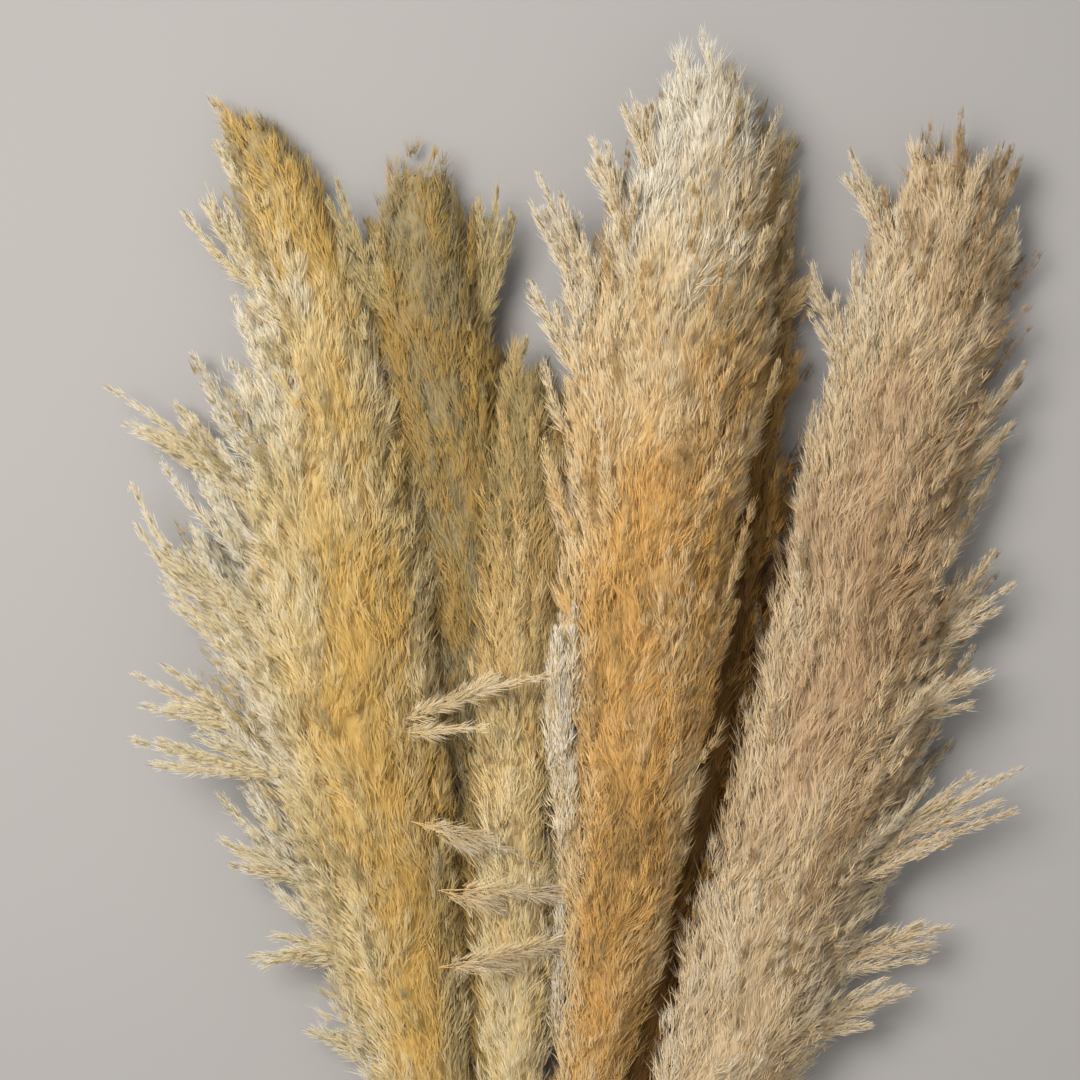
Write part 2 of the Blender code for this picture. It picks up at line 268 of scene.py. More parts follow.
class Soup:
    """Triangles gathered from several shapes before they are made one mesh, with a place on the tone map and a
    soft normal for each vertex."""

    def __init__(self):
        self.places, self.faces, self.tones, self.normals, self.count = [], [], [], [], 0

    def add(self, places, faces, tones, normals):
        self.places.append(places.reshape(-1, 3))
        self.faces.append(faces.reshape(-1, 3) + self.count)
        self.tones.append(tones.reshape(-1, 2))
        self.normals.append(normals.reshape(-1, 3))
        self.count += places.size // 3

    def needles(self, roots, tips, width, soft, tone, own=0.2):
        """Closed three-sided needles. The foot's corners stand at thirds of a turn round the needle, and the
        tone map's height runs from foot to tip."""
        along = unit(tips - roots)
        side = unit(np.cross(along, soft) + 1e-6)
        up = np.cross(along, side)
        turns = 2 * math.pi * np.arange(3) / 3 + 0.4
        ring = np.cos(turns)[:, None] * side[:, None] + np.sin(turns)[:, None] * up[:, None]
        foot = roots[:, None] + ring * (width / 2)[:, None, None]
        places = np.concatenate([foot, tips[:, None]], 1)
        low = LOWEST + 0.0006 * (np.arange(len(tips)) % 7)[:, None] / 7
        places[..., 2] = np.clip(places[..., 2], low, HIGHEST - low)
        normals = np.concatenate([own * ring + (1 - own) * soft[:, None], soft[:, None]], 1)
        faces = np.array([[0, 1, 3], [1, 2, 3], [2, 0, 3], [2, 1, 0]])
        faces = (np.arange(len(roots)) * 4)[:, None, None] + faces
        u = np.clip(tone, *MAP_SPAN)[:, None] + np.array([-0.003, 0.003, 0, 0])
        v = np.broadcast_to([0.03, 0.03, 0.05, 0.97], u.shape)
        self.add(places, faces, np.stack([u, v], -1), unit(normals))

    def tubes(self, rings, tone, heights, soft=None):
        """Closed tubes through rings of points, (tubes, rings, sides, 3). Each end is closed by a fan. On the
        tone map a ring is a small circle at its height. Soft directions, if given, count for half the normal."""
        count, steps, sides = rings.shape[:3]
        normals = unit(rings - rings.mean(2, keepdims=True))
        if soft is not None:
            normals = unit(0.5 * normals + 0.5 * soft[:, :, None])
        a = np.arange(steps - 1)[:, None] * sides + np.arange(sides)
        b = np.arange(steps - 1)[:, None] * sides + (np.arange(sides) + 1) % sides
        halves = [a, b, b + sides], [a, b + sides, a + sides]
        fan = np.stack([np.zeros(sides - 2, int), np.arange(1, sides - 1), np.arange(2, sides)], -1)
        faces = [np.stack(half, -1).reshape(-1, 3) for half in halves]
        faces = np.concatenate([*faces, fan[:, ::-1], fan + (steps - 1) * sides])
        faces = (np.arange(count) * steps * sides)[:, None, None] + faces
        turns = 2 * math.pi * np.arange(sides) / sides
        tone = np.broadcast_to(tone.reshape(count, -1, 1), (count, steps, 1))
        u = np.clip(tone, *MAP_SPAN) + 0.003 * np.cos(turns)
        v = np.broadcast_to(heights[:, None] * 0.94 + 0.03 + 0.003 * np.sin(turns), u.shape)
        self.add(rings, faces, np.stack([u, v], -1), normals)

    def mesh(self, name, toned=True):
        """The triangles as one smooth mesh, with the tone map as its UV map where it is toned."""
        places, faces = np.concatenate(self.places), np.concatenate(self.faces)
        mesh = bpy.data.meshes.new(name)
        mesh.vertices.add(len(places))
        mesh.vertices.foreach_set("co", places.astype(np.float32).ravel())
        mesh.loops.add(faces.size)
        mesh.loops.foreach_set("vertex_index", faces.astype(np.int32).ravel())
        mesh.polygons.add(len(faces))
        mesh.polygons.foreach_set("loop_start", np.arange(0, faces.size, 3, dtype=np.int32))
        mesh.update(calc_edges=True)
        if toned:
            layer = mesh.uv_layers.new(name="OFBake", do_init=False)
            layer.uv.foreach_set("vector", np.concatenate(self.tones)[faces.ravel()].astype(np.float32).ravel())
        mesh.shade_smooth()
        mesh.normals_split_custom_set_from_vertices(np.concatenate(self.normals).astype(np.float32))
        return mesh


def rings_round(paths, along, radii, above=(0.0, 0.13, 1.0)):
    """Rings round paths, square to the directions along them: each goes round at its radii, in the plane of two
    directions square to the path, the first of them square to the direction above as well."""
    side = unit(np.cross(along, above))
    up = np.cross(along, side)
    turns = 2 * math.pi * np.arange(radii.shape[-1]) / radii.shape[-1]
    ring = np.cos(turns)[:, None] * side[..., None, :] + np.sin(turns)[:, None] * up[..., None, :]
    return paths[..., None, :] + ring * radii[..., None]


def put(mesh, material, replaces):
    """One finished piece on the only body, standing for CAD nodes."""
    mesh.materials.append(material)
    piece = bpy.data.objects.new(mesh.name, mesh)
    bpy.context.scene.collection.objects.link(piece)
    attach(piece, "root")
    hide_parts(*replaces)


def mix(tree, factor, first, second, blend="MIX"):
    """Two colours mixed by a factor. Each of the three is an output or a plain value."""
    node = tree.nodes.new("ShaderNodeMix")
    node.data_type = "RGBA"
    node.blend_type = blend
    for socket, value in zip(("Factor", "A", "B"), (factor, first, second)):
        if isinstance(value, bpy.types.NodeSocket):
            tree.links.new(value, node.inputs[socket])
        else:
            node.inputs[socket].default_value = value
    return node.outputs["Result"]


SILK_COLOURS = "Pale", "Straw", "Warm", "Dusk", "Husk", "Painted Root Shade"


def silk_group():
    """The colour of fluff from its tone map: across, four tones from pale to dusky and then the husk's; up, each hair's
    foot is darkened by the painted root shade, painted shade where the feet lie deep under other hairs. This fades to
    the plain tone by the hair's middle, which then stays plain to its tip."""
    group = bpy.data.node_groups.new("silk_tone", "ShaderNodeTree")
    for name in SILK_COLOURS:
        group.interface.new_socket(name, in_out="INPUT", socket_type="NodeSocketColor")
    group.interface.new_socket("Colour", in_out="OUTPUT", socket_type="NodeSocketColor")
    nodes, links = group.nodes, group.links
    given = nodes.new("NodeGroupInput").outputs
    result = nodes.new("NodeGroupOutput")
    place = nodes.new("ShaderNodeUVMap")
    place.uv_map = "OFBake"
    parts = nodes.new("ShaderNodeSeparateXYZ")
    links.new(place.outputs["UV"], parts.inputs[0])

    def between(source, low, high):
        ramp = nodes.new("ShaderNodeMapRange")
        ramp.interpolation_type = "SMOOTHSTEP"
        links.new(parts.outputs[source], ramp.inputs["Value"])
        ramp.inputs["From Min"].default_value = low
        ramp.inputs["From Max"].default_value = high
        return ramp.outputs["Result"]

    tone = mix(group, between("X", 0.02, 0.33), given["Pale"], given["Straw"])
    tone = mix(group, between("X", 0.33, 0.62), tone, given["Warm"])
    tone = mix(group, between("X", 0.62, 0.88), tone, given["Dusk"])
    # Painted shade: each hair's foot, deep in the fluff, is multiplied by the painted root shade.
    shaded = mix(group, 1.0, tone, given["Painted Root Shade"], "MULTIPLY")
    tone = mix(group, between("Y", 0.0, 0.55), shaded, tone)
    tone = mix(group, between("X", 0.915, 0.935), tone, given["Husk"])
    links.new(tone, result.inputs["Colour"])
    return group


silk_tone = silk_group()


def new_material(name):
    """A new material, its node tree and its shader."""
    material = bpy.data.materials.new(name)
    material.use_nodes = True
    return material, material.node_tree, material.node_tree.nodes["Principled BSDF"]


def silk(name, pale, straw, warm, dusk, husk=(0.40, 0.29, 0.14), root=(0.92, 0.82, 0.64)):
    """Dry silky fluff: matt and thin enough that a share of the light passes through each hair. root is the painted
    shade multiplied into each hair's foot.
    """
    material, tree, shader = new_material(name)
    tone = tree.nodes.new("ShaderNodeGroup")
    tone.node_tree = silk_tone
    for socket, colour in zip(SILK_COLOURS, (pale, straw, warm, dusk, husk, root)):
        tone.inputs[socket].default_value = (*colour, 1)
    tree.links.new(tone.outputs["Colour"], shader.inputs["Base Color"])
    shader.inputs["Roughness"].default_value = 0.72
    shader.inputs["Specular IOR Level"].default_value = 0.25
    through = tree.nodes.new("ShaderNodeBsdfTranslucent")
    tree.links.new(tone.outputs["Colour"], through.inputs["Color"])
    both = tree.nodes.new("ShaderNodeMixShader")
    both.inputs["Fac"].default_value = 0.58
    tree.links.new(shader.outputs[0], both.inputs[1])
    tree.links.new(through.outputs[0], both.inputs[2])
    tree.links.new(both.outputs[0], tree.nodes["Material Output"].inputs["Surface"])
    return material


def in_sight(run, places):
    """Whether each place is outside a head's dense middle: its distance from the spine across and up, over the
    outline's half width and half height there, is more than the middle's share. With no run, all are."""
    if run is None:
        return np.full(len(places), True)
    middle, half_width, half_height = run
    share = np.interp(places[:, 1], middle[:, 1], np.linspace(0, 1, len(middle)))
    off = places - on_run(middle, share)
    return np.hypot(off[:, 0] / on_run(half_width, share), off[:, 2] / on_run(half_height, share)) > DENSE_MIDDLE


def fluff(
    soup, twigs, outward, rng, husks, tone, spread=(32, 12), hair=HAIR_LENGTH, husk_share=0.3, twig_width=0.0,
    thin_tip=0.5, run=None, bare=0.02,
):
    """Fills a soup with twigs and their tufts. tone gives each tuft's place across the tone map from its twig,
    its length along it and its seat. A twig of no width is left out, because its tufts hide it, and so are hairs
    inside the dense middle of the run."""
    roots, tips, soft, seats, husk_tips, husk_soft, twig, t = tuft_hairs(
        twigs, outward, rng, husks, spread, hair, thin_tip, bare
    )
    tuft_tone = tone(twig, t, seats) + rng.normal(0, 0.035, len(t))
    hair_tone = np.clip(np.repeat(tuft_tone, TUFT) + rng.normal(0, 0.04, len(roots)), *SILK_TONES)
    shown = in_sight(run, tips)
    width = HAIR_WIDTH * rng.uniform(0.75, 1.25, shown.sum())
    soup.needles(roots[shown], tips[shown], width, soft[shown], hair_tone[shown])
    shown = in_sight(run, seats)
    flecks(soup, seats[shown], husk_tips[shown], husk_soft[shown], rng, husk_share)
    if not twig_width:
        return
    thickness = twig_width / 2 * np.linspace(1, 0.35, TWIG_STEPS)[:, None] * np.ones(3)
    bark = tone(np.arange(len(twigs)), np.full(len(twigs), 0.5), twigs[:, TWIG_STEPS // 2]) + 0.15
    rings = rings_round(twigs, unit(np.gradient(twigs, axis=1)), thickness)
    soup.tubes(rings, np.clip(bark, *SILK_TONES), np.linspace(0, 1, TWIG_STEPS), outward)


def flecks(soup, seats, tips, soft, rng, husk_share):
    """The husks that show: short brown needles a little further out than the hairs' feet."""
    shown = rng.uniform(0, 1, len(seats)) < husk_share
    lift = soft[shown] * HUSK_LIFT
    width = rng.uniform(0.00045, 0.00085, shown.sum())
    soup.needles(seats[shown] + lift, tips[shown] + lift, width, soft[shown], rng.uniform(*HUSK_TONES, shown.sum()))


def head_core(run, steps=40, sides=28):
    """The dense middle of a head, where the stalk and the twigs' feet crowd: a tube through ellipses at a share
    of the outline, ribbed lengthwise by waves that turn slowly along it."""
    middle, half_width, half_height = run
    at = np.linspace(0.0, 0.98, steps)
    turns = 2 * math.pi * np.arange(sides) / sides
    rib = 1 + 0.05 * np.sin(7 * turns + 9 * at[:, None]) + 0.04 * np.sin(4 * turns - 23 * at[:, None])
    wide = on_run(half_width, at)[:, None] * DENSE_MIDDLE * rib
    high = on_run(half_height, at)[:, None] * DENSE_MIDDLE * rib
    rings = on_run(middle, at)[:, None] + np.stack([wide * np.cos(turns), 0 * wide, -high * np.sin(turns)], -1)
    rings[..., 2] = np.maximum(rings[..., 2], LOWEST * 4)
    return rings[None]


def tassels(run, rng, count, between, way, lean, length, tone=-0.04, seat=(0.60, 0.88), stray=24):
    """Twig ends that stand clear of a head's outline or lie on it. Each starts at a share of the run, an angle
    round it that strays from the given way and a share of the outline, leans out from the spine's direction, and
    curves back towards it. tone is how far each lies from its head's tone. Returns points, their outward
    directions, shares of the run, and that tone."""
    root = rng.uniform(*between, count)
    turn = np.radians(way + rng.normal(0, stray, count))
    along = onward(run, root)
    away = unit(np.stack([np.cos(turn), 0 * turn, 0.5 * np.sin(turn)], -1))
    t = np.linspace(0, 1, TWIG_STEPS)[:, None]
    reach = rng.uniform(*length, count)[:, None, None]
    tilt = np.radians(rng.uniform(*lean, count))[:, None, None]
    bend = along[:, None] * np.cos(tilt) * t + away[:, None] * np.sin(tilt) * (t - 0.28 * t**2)
    wave = np.cross(along, away)[:, None] * np.sin(t * 3.3 + rng.uniform(0, 6, (count, 1, 1))) * 0.03
    start = on_run(run[0], root) + outline(run, root, turn) * rng.uniform(*seat, (count, 1))
    paths = start[:, None] + reach * (bend + wave * t)
    paths[..., 2] = np.maximum(paths[..., 2], TWIGS_LOWEST)
    return paths, np.repeat(unit(away + np.array([0, 0, 0.4]))[:, None], TWIG_STEPS, axis=1), root, tone


def end_to_end(paths):
    """Each path's length in a straight line."""
    return np.linalg.norm(paths[:, -1] - paths[:, 0], axis=1)


def head(
    name, material, seed, tone, length, flare, flare_way, edges, wisps=(), twigs=260, husks=5400, naps=4600,
    locks=940, parts=3, tip=0.003, fleck=0.12,
):
    """One head, in parts that share its twigs out from foot to tip, and its nap and locks at random. The first
    part holds the dense middle, and the parts share the tassels out. tone gives the place across the tone map
    from the share of the run, the place across the head and the share of the twig. The edges are the tassels:
    their count, the shares of the run between which they start, their way, lean and length. The wisps are
    listed alike: bare twig ends with small brown husks and hardly any hair."""
    rng = np.random.default_rng(seed)
    run = head_run(f"{name}_head", tip)
    paths, outward, turn, root, end = head_twigs(run, rng, twigs, length, flare, flare_way)
    sight = (0.25 + 0.75 * np.abs(np.cos(turn))) * np.where(np.sin(turn) < -0.4, 0.4, 1)
    weight = end_to_end(paths) * sight * (0.45 + 0.55 * np.clip(end, 0, 1.2))
    share = np.maximum((husks * weight / weight.sum()).astype(int), 10)
    tone_shift = rng.normal(0, 0.04, twigs)
    seat, heading, size, macro, nap_along, nap_across = nap(run, rng, naps, flare, flare_way)
    lock_paths, lock_out, lock_along, lock_across = head_locks(run, rng, locks, flare, flare_way)

    def patchy(along, across):
        """Slow waves along the head, and quicker ones across it that wander along it."""
        slow = np.sin(47 * along + 3 * across + seed) + np.sin(23 * along - 5 * across + 2 * seed)
        quick = 0.045 * np.sin(12 * across + 17 * along + seed)
        return 0.055 * slow + quick + 0.035 * np.sin(21 * across - 29 * along)

    nap_tone = tone(nap_along, nap_across, 0.4) + patchy(nap_along, nap_across) + rng.normal(0.04, 0.02, naps)
    lock_tone = tone(lock_along, lock_across, 0.5) + patchy(lock_along, lock_across) + rng.normal(0, 0.04, locks)
    for part in range(parts):
        soup = Soup()
        index = np.flatnonzero(np.arange(twigs) * parts // twigs == part)

        def twig_tone(twig, t, seats, index=index):
            whole = np.clip(root[index][twig] + 0.25 * t, 0, 1)
            across = (seats[:, 0] - on_run(run[0], whole)[:, 0]) / on_run(run[1], whole)
            return tone(whole, across, t) + tone_shift[index][twig]

        fluff(soup, paths[index], outward[index], rng, share[index], twig_tone, husk_share=fleck * 1.5, run=run)
        mine = slice(part, locks, parts)
        fluff(
            soup, lock_paths[mine], lock_out[mine], rng, np.full(len(lock_along[mine]), LOCK_TUFTS),
            lambda twig, t, seats: lock_tone[mine][twig] - 0.06 * t,
            spread=(26, 10), hair=HAIR_LENGTH * 0.95, husk_share=fleck, thin_tip=0.45, run=run,
        )
        mine = slice(part, naps, parts)
        roots, tips = fan_out(seat[mine], heading[mine], size[mine], rng, 0.17, 0.0022)
        hair_tone = np.clip(np.repeat(nap_tone[mine], TUFT) + rng.normal(0, 0.03, len(roots)), *SILK_TONES)
        width = HAIR_WIDTH * rng.uniform(1.0, 1.5, len(roots))
        soup.needles(roots, tips, width, np.repeat(macro[mine], TUFT, axis=0), hair_tone)
        if part == 0:
            core = head_core(run)
            height = np.linspace(0, 1, core.shape[1])
            # Painted shade: the core lies low on the tone map, where the painted root shade darkens it.
            soup.tubes(core, np.clip(tone(height, 0.0, 0.5) + 0.12, 0, 0.9), 0.25 + 0.3 * height)
        for edge in edges[part::parts]:
            thin, thin_out, thin_root, shift = tassels(run, rng, *edge)
            across = 1.1 * math.cos(math.radians(edge[2]))
            edge_tone = tone(thin_root, across, 0.5) + shift + rng.normal(0, 0.05, len(thin))
            fluff(
                soup, thin, thin_out, rng, (end_to_end(thin) * TASSEL_TUFTS).astype(int),
                lambda twig, t, seats: edge_tone[twig] - 0.15 * t,
                spread=(26, 6), hair=0.0085, twig_width=0.0008, thin_tip=0.75,
            )
        for wisp in wisps[part::parts]:
            thin, thin_out = tassels(run, rng, *wisp)[:2]
            fluff(
                soup, thin, thin_out, rng, (end_to_end(thin) * WISP_TUFTS).astype(int),
                lambda twig, t, seats: WISP_TONE + 0 * t,
                spread=(16, 4), hair=0.0052, husk_share=0.9, twig_width=0.0005,
            )
        put(soup.mesh(f"{name}_fluff_{part + 1}"), material, [f"{name}_head"])


def bump(x, centre, width):
    """A smooth hill of height 1."""
    return np.exp(-(((x - centre) / width) ** 2))


left_silk = silk(
    "left_silk", (0.97, 0.92, 0.78), (0.92, 0.78, 0.46), (0.90, 0.64, 0.22), (0.62, 0.50, 0.27), (0.44, 0.37, 0.19)
)
head(
    "left",
    left_silk,
    seed=11,
    tone=lambda s, x, t: 0.28
    + 0.32 * bump(x, 0.15, 0.5) * bump(s, 0.40, 0.4)
    # Painted shade: the right side, away from the key lamp, is made duskier.
    + 0.12 * np.clip(x, 0, 1)
    - 0.30 * np.clip(-x - 0.25, 0, 1) * s
    + 0.56 * np.clip((s - 0.84) / 0.13, 0, 1)
    - 0.06 * t,
    length=(0.10, 0.13, 0.13, 0.12, 0.09, 0.05),
    flare=1.0,
    flare_way=176,
    edges=[
        (44, (0.28, 0.72), 180, (34, 56), (0.045, 0.080)),
        (14, (0.70, 0.92), 165, (10, 28), (0.03, 0.045)),
        (20, (0.3, 0.88), 5, (8, 26), (0.028, 0.045)),
    ],
    wisps=[
        (10, (0.82, 0.95), 150, (4, 34), (0.025, 0.045)),
        (12, (0.35, 0.70), 178, (36, 62), (0.05, 0.085)),
        (44, (0.22, 0.85), 128, (18, 40), (0.016, 0.034), 0, (0.84, 0.98), 26),
    ],
    fleck=0.06,
)

# ----------
# The olive head: a narrower panicle of the same silky fluff, khaki, with a dusky grey-green tip. It lies beside
# the left head on its own stem, and its twigs flare a little to the right.
# ----------

olive_silk = silk(
    "olive_silk", (0.84, 0.75, 0.50), (0.72, 0.58, 0.28), (0.62, 0.43, 0.14), (0.47, 0.41, 0.25), (0.36, 0.32, 0.18)
)
head(
    "olive",
    olive_silk,
    seed=23,
    tone=lambda s, x, t: 0.69 + 0.08 * bump(s, 0.5, 0.2) + 0.30 * np.clip(s - 0.7, 0, 1) - 0.08 * t,
    length=(0.08, 0.11, 0.12, 0.11, 0.08, 0.05),
    flare=0.35,
    flare_way=30,
    edges=[(14, (0.5, 0.88), 175, (4, 16), (0.03, 0.05)), (18, (0.5, 0.88), 10, (4, 18), (0.035, 0.06))],
    wisps=[
        (14, (0.72, 0.94), 60, (2, 22), (0.025, 0.045)),
        (24, (0.4, 0.9), 80, (4, 22), (0.016, 0.03), 0, (0.84, 0.98), 30),
    ],
    twigs=140,
    husks=2700,
    naps=2500,
    locks=500,
    parts=2,
    fleck=0.05,
)

# ----------
# The short head: pale, greenish silk, squeezed between its neighbours and lying on them. Its shorter stem ends
# it well below their tips.
# ----------

short_silk = silk("short_silk", (0.99, 0.90, 0.66), (0.95, 0.78, 0.43), (0.79, 0.57, 0.25), (0.54, 0.44, 0.22))
head(
    "short",
    short_silk,
    seed=37,
    # The upper half turns dusky: partly its own greenish colour, partly painted shade where it lies between its
    # neighbours.
    tone=lambda s, x, t: 0.20 + 0.10 * np.clip((s - 0.25) / 0.2, 0, 1) + 1.5 * np.clip(s - 0.5, 0, 0.40) - 0.08 * t,
    length=(0.07, 0.09, 0.10, 0.09, 0.07, 0.05),
    flare=0.2,
    flare_way=90,
    edges=[(14, (0.5, 0.88), 90, (4, 20), (0.03, 0.05)), (8, (0.6, 0.85), 0, (4, 16), (0.03, 0.05))],
    wisps=[
        (10, (0.70, 0.92), 90, (2, 20), (0.02, 0.04)),
        (14, (0.3, 0.85), 90, (4, 20), (0.016, 0.03), 0, (0.84, 0.98), 30),
    ],
    twigs=90,
    husks=1400,
    naps=1500,
    locks=260,
    parts=1,
    tip=0.006,
    fleck=0.05,
)

# ----------
# The tall head: the longest panicle, on top of the others. It is peach gold with an orange ridge and a cream
# tip, and a cream plume stands on its left edge.
# ----------

tall_silk = silk("tall_silk", (0.985, 0.94, 0.82), (0.95, 0.78, 0.50), (0.92, 0.60, 0.22), (0.66, 0.44, 0.18))
head(
    "tall",
    tall_silk,
    seed=41,
    tone=lambda s, x, t: 0.34
    + 0.28 * bump(x, -0.2, 0.35) * bump(s, 0.38, 0.30)
    # Painted shade: the right side, away from the key lamp, is made duskier and more golden brown.
    + 0.20 * np.clip(x, 0, 1)
    + 0.14 * np.clip((0.48 - s) / 0.25, 0, 1) * bump(x, 0.1, 0.6)
    + 0.20 * bump(s, 0.36, 0.08) * bump(x, 0.1, 0.45)
    + 0.13 * bump(s, 0.57, 0.09)
    - 0.34 * np.clip((s - 0.74) / 0.2, 0, 1)
    - 0.06 * t,
    length=(0.12, 0.15, 0.15, 0.13, 0.10, 0.06),
    flare=0.25,
    flare_way=90,
    edges=[
        (30, (0.40, 0.86), 172, (14, 34), (0.035, 0.06)),
        (24, (0.42, 0.88), 12, (10, 26), (0.035, 0.055)),
        (13, (0.42, 0.51), 148, (2, 12), (0.03, 0.055), -0.15, (0.98, 1.12), 11),
        (6, (0.36, 0.40), 152, (2, 10), (0.03, 0.045), -0.12, (0.94, 1.06), 8),
        (6, (0.20, 0.27), 158, (3, 12), (0.03, 0.045), -0.12, (0.94, 1.06), 8),
    ],
    wisps=[
        (12, (0.72, 0.92), 170, (6, 30), (0.03, 0.05)),
        (10, (0.70, 0.92), 12, (6, 26), (0.03, 0.05)),
        (64, (0.25, 0.86), 90, (6, 24), (0.016, 0.034), 0, (0.86, 1.0), 36),
    ],
    tip=0.008,
    fleck=0.16,
)

# ----------
# The head behind the tall one: dark gold silk, painted darker still from its foot to beyond its middle as painted shade
# in the gap between the tall and right heads. It lies on the floor, and only its right edge and its tip show past the
# tall head.
# ----------

# Its warm and dusk tones are partly its own dark gold and partly painted shade.
behind_silk_with_painted_shade = silk("behind_silk_with_painted_shade", (0.88, 0.74, 0.48), (0.72, 0.52, 0.25), (0.55, 0.33, 0.10), (0.29, 0.16, 0.05))
head(
    "behind",
    behind_silk_with_painted_shade,
    seed=53,
    # Painted shade: the head is duskiest from its foot to beyond the middle of its run, where it lies in the gap
    # between the tall and right heads.
    tone=lambda s, x, t: 0.84 - 0.60 * np.clip((s - 0.60) / 0.3, 0, 1) - 0.06 * t,
    length=(0.08, 0.10, 0.11, 0.11, 0.09, 0.05),
    flare=0.9,
    flare_way=5,
    edges=[(20, (0.45, 0.90), 5, (10, 28), (0.03, 0.05))],
    twigs=110,
    husks=1200,
    naps=1200,
    locks=240,
    parts=1,
    fleck=0.08,
)

# ----------
# The right head: beige silk, smooth along its left edge, with twigs that flare to the right. It lies on the
# floor at the end of the fan.
# ----------

right_silk = silk("right_silk", (0.98, 0.91, 0.76), (0.94, 0.78, 0.54), (0.80, 0.60, 0.39), (0.58, 0.40, 0.22))
head(
    "right",
    right_silk,
    seed=67,
    tone=lambda s, x, t: 0.27
    + 0.40 * bump(s, 0.60, 0.22) * bump(x, 0.0, 0.8)
    # Painted shade: the right side, away from the key lamp, is made duskier towards the tip.
    + 0.10 * np.clip(x, 0, 1) * s
    + 0.12 * np.clip((s - 0.85) / 0.1, 0, 1)
    - 0.06 * t,
    length=(0.09, 0.12, 0.12, 0.12, 0.10, 0.05),
    flare=0.75,
    flare_way=6,
    edges=[
        (40, (0.28, 0.80), 2, (28, 50), (0.04, 0.065)),
        (24, (0.50, 0.90), 175, (8, 28), (0.03, 0.05)),
        (12, (0.84, 0.94), 50, (0, 24), (0.028, 0.045)),
    ],
    wisps=[
        (18, (0.84, 0.96), 60, (4, 40), (0.025, 0.05)),
        (12, (0.60, 0.92), 178, (10, 34), (0.03, 0.05)),
        (16, (0.45, 0.9), 2, (24, 44), (0.035, 0.052)),
        (44, (0.25, 0.9), 70, (12, 34), (0.016, 0.034), 0, (0.84, 0.98), 36),
    ],
    tip=0.004,
    fleck=0.09,
)

# ----------
# The side branches: long twigs that stand clear of the heads, each with a few finer ones splitting off it.
# They come from the head whose colour they have.
# ----------


def branch_path(node, spine, longer):
    """A side branch's middle line from root to tip. Its length runs along the direction in which its solid's
    points spread most, and each point is the middle of the solid's section there. The root is the end nearer
    to the head's spine, and the line is led back into the head from it. The tip runs on a little."""
    places = corners(node)
    along = np.linalg.svd(places - places.mean(0), full_matrices=False)[2][0]
    reach = places @ along
    first, last = (np.linalg.norm(spine - places[end], axis=1).min() for end in (reach.argmin(), reach.argmax()))
    if first > last:
        along, reach = -along, -reach
    inset = 0.0008
    low, high = cuts(node, along, np.linspace(reach.min() + inset, reach.max() - inset, TWIG_STEPS - 3))
    line = (low + high) / 2
    line[-4:] += unit(line[-1] - line[-5]) * longer * np.array([[0.1], [0.35], [0.65], [1.0]])
    back = line[0] - spine[np.linalg.norm(spine - line[0], axis=1).argmin()]
    lead = line[0] - (unit(line[1] - line[0]) * 0.7 + unit(back) * 0.3) * np.array([[0.021], [0.014], [0.007]])
    return np.concatenate([lead, line])


def split_twigs(path, rng, number):
    """A branch's finer twigs: each leaves the main line at a share of its length and keeps that line's shape,
    drawn shorter, turned a little outwards by an offset that grows with nearly the first power of its length.
    They turn off to either side by turns."""
    leave = np.linspace(0.0, 0.55, number) + rng.uniform(-0.04, 0.04, number)
    reach = (1 - leave) * rng.uniform(0.45, 0.9, number)
    t = np.linspace(0, 1, TWIG_STEPS)
    share = leave[:, None] + reach[:, None] * t
    along = unit(path[-1] - path[3])
    side = unit(np.cross(along, [0.0, 0.1, 1.0]))
    up = np.cross(along, side)
    turn = rng.uniform(-math.pi, math.pi, number)
    turn[::2] = rng.normal(0, 0.5, len(turn[::2]))
    turn[1::2] = math.pi + rng.normal(0, 0.5, len(turn[1::2]))
    off = np.cos(turn)[:, None] * side + np.sin(turn)[:, None] * up
    length = np.linalg.norm(path[-1] - path[3])
    grow = (rng.uniform(0.05, 0.17, number) * length * reach / 0.5)[:, None] * t**0.9
    return on_run(path, share) + off[:, None] * grow[..., None]


def side_branches(
    name, material, seed, tone, nodes=(), head="", per_length=1050, number=6, longer=0.005, hair=0.0074, spread=(22, 4)
):
    """A head's side branches as one piece, with husks in proportion to their length. They are all those of its
    name, unless nodes are given. tone is the place across the tone map at the foot and how far it falls."""
    rng = np.random.default_rng(seed)
    spine = head_run(f"{head or name}_head")[0]
    nodes = nodes or sorted(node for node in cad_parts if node.startswith(f"{name}_branch_"))
    soup = Soup()
    for node in nodes:
        main = branch_path(node, spine, longer)
        twigs = np.concatenate([main[None], split_twigs(main, rng, number)])
        twigs[..., 2] = np.maximum(twigs[..., 2], 0.003)
        length = np.linalg.norm(np.diff(twigs, axis=1), axis=2).sum(1)
        along = unit(main[-1] - main[3])
        outward = np.broadcast_to(unit(np.array([0, 0, 1.0]) - along * along[2]), twigs.shape)
        husks = np.maximum((length * per_length).astype(int), 8)
        fluff(
            soup, twigs, outward, rng, husks, lambda twig, t, seats: tone[0] - tone[1] * t, spread, hair,
            twig_width=0.0007, thin_tip=0.8, bare=0.15,
        )
    put(soup.mesh(f"{name}_side_branches"), material, nodes)


